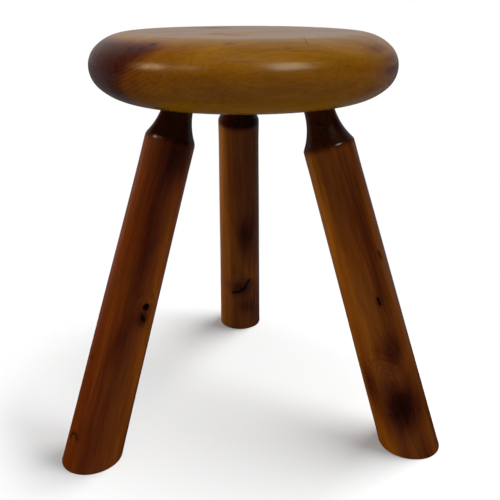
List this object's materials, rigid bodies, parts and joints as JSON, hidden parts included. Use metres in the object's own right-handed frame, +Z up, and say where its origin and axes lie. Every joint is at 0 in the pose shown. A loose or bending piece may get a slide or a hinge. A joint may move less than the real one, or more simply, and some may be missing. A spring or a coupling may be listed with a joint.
{
  "type": "tripod stool",
  "caption": "Low tripod stool: a thick round seat with a full, soft rim on stout splayed legs that narrow to a hollowed neck where they enter the seat.",
  "frame": {"origin": "on the floor, under the middle of the stool's overall box in plan; the seat's own axis stands at x -9.39 mm, y -39.4 mm", "axes": "+Z up, +X to the right and +Y away from someone who faces the two front legs, so the single back leg points along +Y"},
  "size_m": [0.4114, 0.3888, 0.43],
  "materials": {
    "seat_pine": "amber lacquered pine, semi-gloss",
    "leg_pine": "brown stained and lacquered pine, semi-gloss",
    "wedge_beech": "bare sawn hardwood"
  },
  "bodies": {
    "root": {"seat": "seat_pine", "leg_back": "leg_pine", "leg_left": "leg_pine", "leg_right": "leg_pine", "wedge_back": "wedge_beech", "wedge_left": "wedge_beech", "wedge_right": "wedge_beech"}
  },
  "joints": []
}
